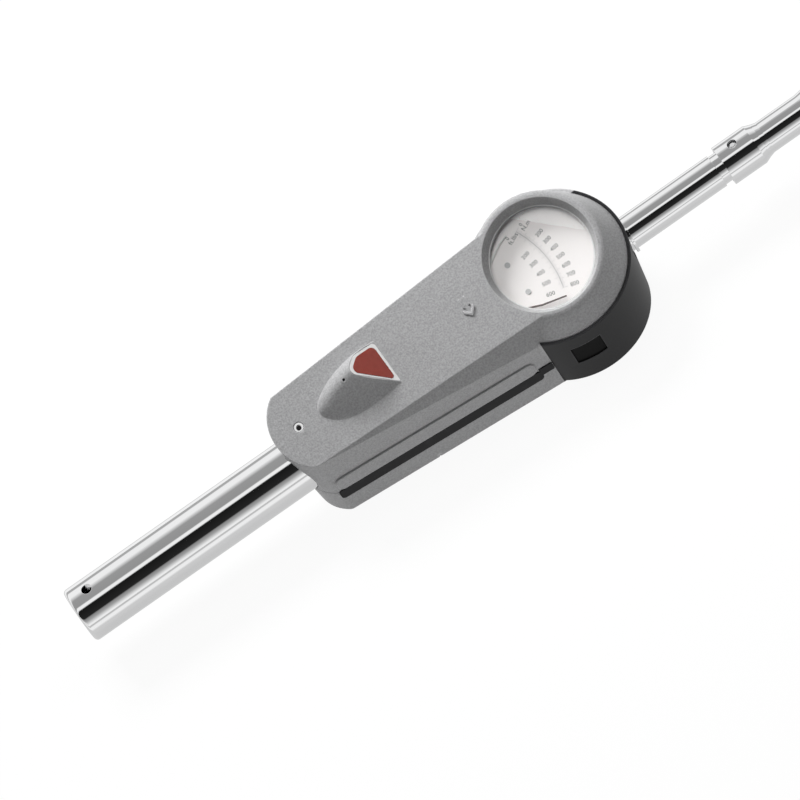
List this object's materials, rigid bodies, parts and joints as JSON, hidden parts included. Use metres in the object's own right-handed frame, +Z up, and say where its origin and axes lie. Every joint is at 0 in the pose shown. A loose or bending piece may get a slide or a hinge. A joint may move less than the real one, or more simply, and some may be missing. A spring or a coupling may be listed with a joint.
{
  "type": "dial torque wrench",
  "caption": "Dial torque wrench: tube handle, wedge-shaped housing with a tilted dial window and signal lamp, flexing round bar and a plug-on square drive head.",
  "frame": {"origin": "where the drive square's axis crosses the bar's axis", "axes": "+X along the bar, out past the drive head; +Z up, on the dial's side, with the drive square pointing down; the dial leans towards -Y"},
  "size_m": [0.688, 0.1232, 0.1076],
  "materials": {
    "chrome": "polished",
    "steel": "brushed",
    "screw_steel": "satin",
    "grey_housing": "fine texture",
    "black_housing": "satin",
    "black_strip": "matte",
    "red_lens": "glossy",
    "light_trim": "satin",
    "glass": "clear",
    "gasket": "matte",
    "card": "satin",
    "hands": "painted",
    "needle_paint": "painted",
    "brass": "satin",
    "board": "matte",
    "lamp": "clear",
    "battery": "satin"
  },
  "bodies": {
    "housing": {"handle_tube": "chrome", "root_bush": "brass", "root_pin": "steel", "pin_clips": "screw_steel", "clamp_saddles": "steel", "clamp_straps": "steel", "clamp_screws": "screw_steel", "lower_tray": "grey_housing", "top_cover": "grey_housing", "front_shell": "black_housing", "shell_clips": "black_strip", "side_strips": "black_strip", "base_screws": "screw_steel", "rear_screw": "screw_steel", "battery_door": "black_housing", "door_screw": "screw_steel", "battery": "battery", "battery_contacts": "steel", "lamp_board": "board", "board_screws": "screw_steel", "lamp": "lamp", "signal_lens": "red_lens", "lens_bezel": "light_trim", "glass_gasket": "gasket", "dial_glass": "glass", "glass_keeper": "steel", "dial_card": "card", "card_screws": "screw_steel", "dial_plate": "brass", "base_plate": "brass", "plate_spacers": "brass", "plate_screws": "screw_steel", "sector_stud": "steel", "arbor_bushes": "brass", "memory_stud": "steel", "hairspring": "steel", "hair_post": "brass"},
    "beam": {"beam_bar": "chrome", "beam_collar": "steel", "drive_pin": "steel", "collar_screw": "screw_steel", "dust_shutter": "black_housing", "exit_ring": "chrome", "head_body": "chrome", "drive_square": "chrome", "ball_spring": "steel", "button_spring": "steel"},
    "pointer": {"needle": "needle_paint", "pusher_pin": "steel", "needle_hub": "brass", "pinion_arbor": "steel"},
    "sector": {"sector_lever": "brass"},
    "memory": {"memory_hand": "hands", "memory_hub": "brass"},
    "button": {"lock_button": "chrome"},
    "ball": {"drive_ball": "steel"}
  },
  "joints": [
    {"name": "beam_flex", "type": "hinge", "parent": "housing", "child": "beam", "pos_m": [-0.423, 0, 0], "axis": [0, 0, -1], "range_deg": [0, 1.36], "stiffness_Nm_per_rad": 60},
    {"name": "sector_turn", "type": "hinge", "parent": "housing", "child": "sector", "pos_m": [-0.27848, -0.00115, 0.02336], "axis": [-0.0237, -0.4225, 0.9061], "range_deg": [0, 5.71]},
    {"name": "pointer_turn", "type": "hinge", "parent": "housing", "child": "pointer", "pos_m": [-0.32347, -0.00132, 0.02255], "axis": [0.0237, 0.4225, -0.9061], "range_deg": [0, 45.7]},
    {"name": "memory_turn", "type": "hinge", "parent": "housing", "child": "memory", "pos_m": [-0.3236, -0.00369, 0.02762], "axis": [-0.0237, -0.4225, 0.9061], "range_deg": [0, 50.7]},
    {"name": "button_press", "type": "slide", "parent": "beam", "child": "button", "axis": [0, 0, 1], "range_m": [-0.0026, 0], "stiffness_N_per_m": 300, "springref_m": 0.0005, "deforming": ["button_spring"]},
    {"name": "ball_press", "type": "slide", "parent": "beam", "child": "ball", "axis": [0.7071, 0.7071, 0], "range_m": [-0.0013, 0], "stiffness_N_per_m": 600, "springref_m": 0.0005, "deforming": ["ball_spring"]}
  ],
  "couplings": [
    {"joint": "sector_turn", "follows": "beam_flex", "ratio": 4.2},
    {"joint": "pointer_turn", "follows": "beam_flex", "ratio": 33.6}
  ]
}
